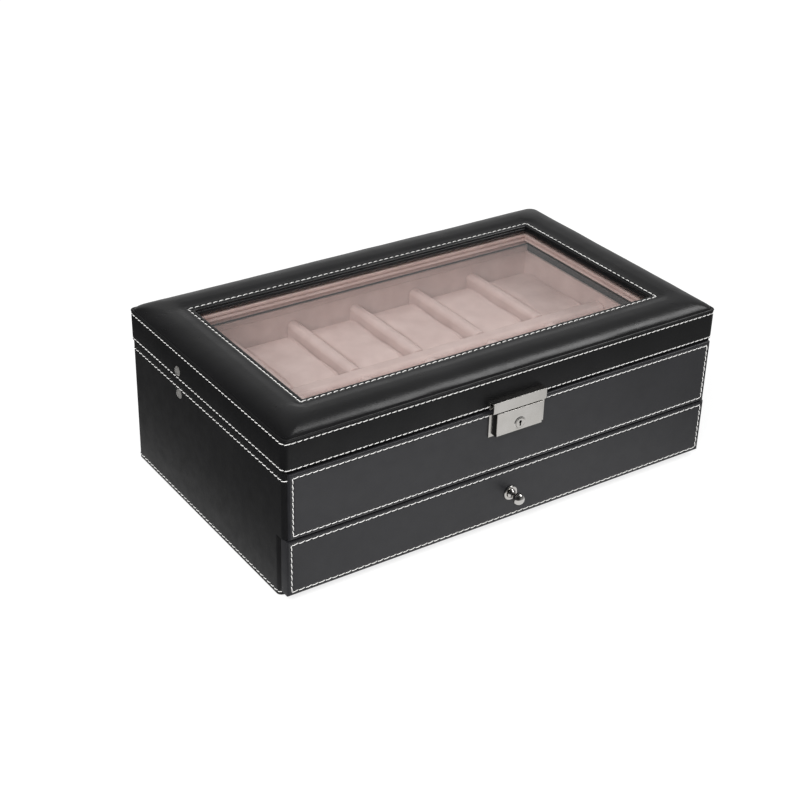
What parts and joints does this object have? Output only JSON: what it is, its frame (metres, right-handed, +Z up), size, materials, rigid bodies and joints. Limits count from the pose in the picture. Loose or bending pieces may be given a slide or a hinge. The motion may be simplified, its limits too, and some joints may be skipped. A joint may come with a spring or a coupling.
{
  "type": "watch box with drawer",
  "caption": "Leather-covered watch and jewellery box with a padded window lid on stays, velvet cells with pillows, a front lock and a drawer with a small knob.",
  "frame": {"origin": "middle of the box's width and depth, on the surface that it stands on", "axes": "+Z up, +X to the right of someone facing the drawer, -Y the way the drawer pulls out"},
  "size_m": [0.3282, 0.2131, 0.115],
  "materials": {
    "black_leather": "semi-gloss smooth imitation leather, white stitching",
    "grey_velvet": "short-pile velvet, warm grey",
    "fibreboard": "raw fibreboard",
    "base_felt": "thin black felt",
    "foam": "foam padding under leather",
    "window_glass": "clear flat glass",
    "satin_nickel": "satin nickel plate",
    "polished_nickel": "polished nickel",
    "stay_steel": "zinc-plated steel"
  },
  "bodies": {
    "case": {"case_left_board": "fibreboard", "case_right_board": "fibreboard", "case_back_board": "fibreboard", "case_front_board": "fibreboard", "mid_shelf": "fibreboard", "bottom_board": "fibreboard", "upper_panel_board": "fibreboard", "case_leather": "black_leather", "upper_panel_leather": "black_leather", "compartment_lining": "grey_velvet", "long_divider": "grey_velvet", "cross_dividers_rear": "grey_velvet", "cross_dividers_front": "grey_velvet", "watch_pillow_rear_1": "grey_velvet", "watch_pillow_rear_2": "grey_velvet", "watch_pillow_rear_3": "grey_velvet", "watch_pillow_rear_4": "grey_velvet", "watch_pillow_rear_5": "grey_velvet", "watch_pillow_rear_6": "grey_velvet", "watch_pillow_front_1": "grey_velvet", "watch_pillow_front_2": "grey_velvet", "watch_pillow_front_3": "grey_velvet", "watch_pillow_front_4": "grey_velvet", "watch_pillow_front_5": "grey_velvet", "watch_pillow_front_6": "grey_velvet", "base_felt": "base_felt", "lock_plate": "satin_nickel", "case_rivets": "polished_nickel", "lock_screws": "stay_steel", "hinge_case_leaves": "stay_steel", "hinge_pins": "stay_steel", "hinge_case_screws": "stay_steel"},
    "lid": {"lid_frame_board": "fibreboard", "lid_wall_boards": "fibreboard", "lid_padding": "foam", "lid_top_leather": "black_leather", "lid_skirt_leather": "black_leather", "glass_pane": "window_glass", "glass_retainer": "grey_velvet", "catch_plate": "satin_nickel", "lid_rivets": "polished_nickel", "hinge_lid_leaves": "stay_steel", "hinge_lid_screws": "stay_steel"},
    "drawer": {"drawer_front_board": "fibreboard", "drawer_front_leather": "black_leather", "drawer_sides": "fibreboard", "drawer_back": "fibreboard", "drawer_bottom": "fibreboard", "drawer_lining": "grey_velvet", "knob": "polished_nickel", "knob_rosette": "polished_nickel", "knob_screw": "stay_steel"},
    "lock": {"lock_plug": "satin_nickel", "lock_cam": "stay_steel"},
    "left_lower_stay": {"left_lower_arm": "stay_steel", "left_elbow_pin": "stay_steel"},
    "left_upper_stay": {"left_upper_arm": "stay_steel"},
    "right_lower_stay": {"right_lower_arm": "stay_steel", "right_elbow_pin": "stay_steel"},
    "right_upper_stay": {"right_upper_arm": "stay_steel"}
  },
  "joints": [
    {"name": "lid_hinge", "type": "hinge", "parent": "case", "child": "lid", "pos_m": [0, 0.0998, 0.0883], "axis": [-1, 0, 0], "range_deg": [0, 95]},
    {"name": "drawer_slide", "type": "slide", "parent": "case", "child": "drawer", "axis": [0, -1, 0], "range_m": [0, 0.145]},
    {"name": "lock_turn", "type": "hinge", "parent": "case", "child": "lock", "pos_m": [0, -0.1032, 0.0764], "axis": [0, 1, 0], "range_deg": [0, 90]},
    {"name": "left_lower_stay_pivot", "type": "hinge", "parent": "case", "child": "left_lower_stay", "pos_m": [-0.1531, 0.0311, 0.0791], "axis": [-1, 0, 0], "range_deg": [0, 95]},
    {"name": "left_upper_stay_pivot", "type": "hinge", "parent": "lid", "child": "left_upper_stay", "pos_m": [-0.1548, 0.03084, 0.0953], "axis": [1, 0, 0], "range_deg": [0, 95]},
    {"name": "right_lower_stay_pivot", "type": "hinge", "parent": "case", "child": "right_lower_stay", "pos_m": [0.1531, 0.0311, 0.0791], "axis": [-1, 0, 0], "range_deg": [0, 95]},
    {"name": "right_upper_stay_pivot", "type": "hinge", "parent": "lid", "child": "right_upper_stay", "pos_m": [0.1548, 0.03084, 0.0953], "axis": [1, 0, 0], "range_deg": [0, 95]}
  ],
  "couplings": [
    {"joint": "left_lower_stay_pivot", "follows": "lid_hinge", "ratio": 1},
    {"joint": "left_upper_stay_pivot", "follows": "lid_hinge", "ratio": 1},
    {"joint": "right_lower_stay_pivot", "follows": "lid_hinge", "ratio": 1},
    {"joint": "right_upper_stay_pivot", "follows": "lid_hinge", "ratio": 1}
  ]
}
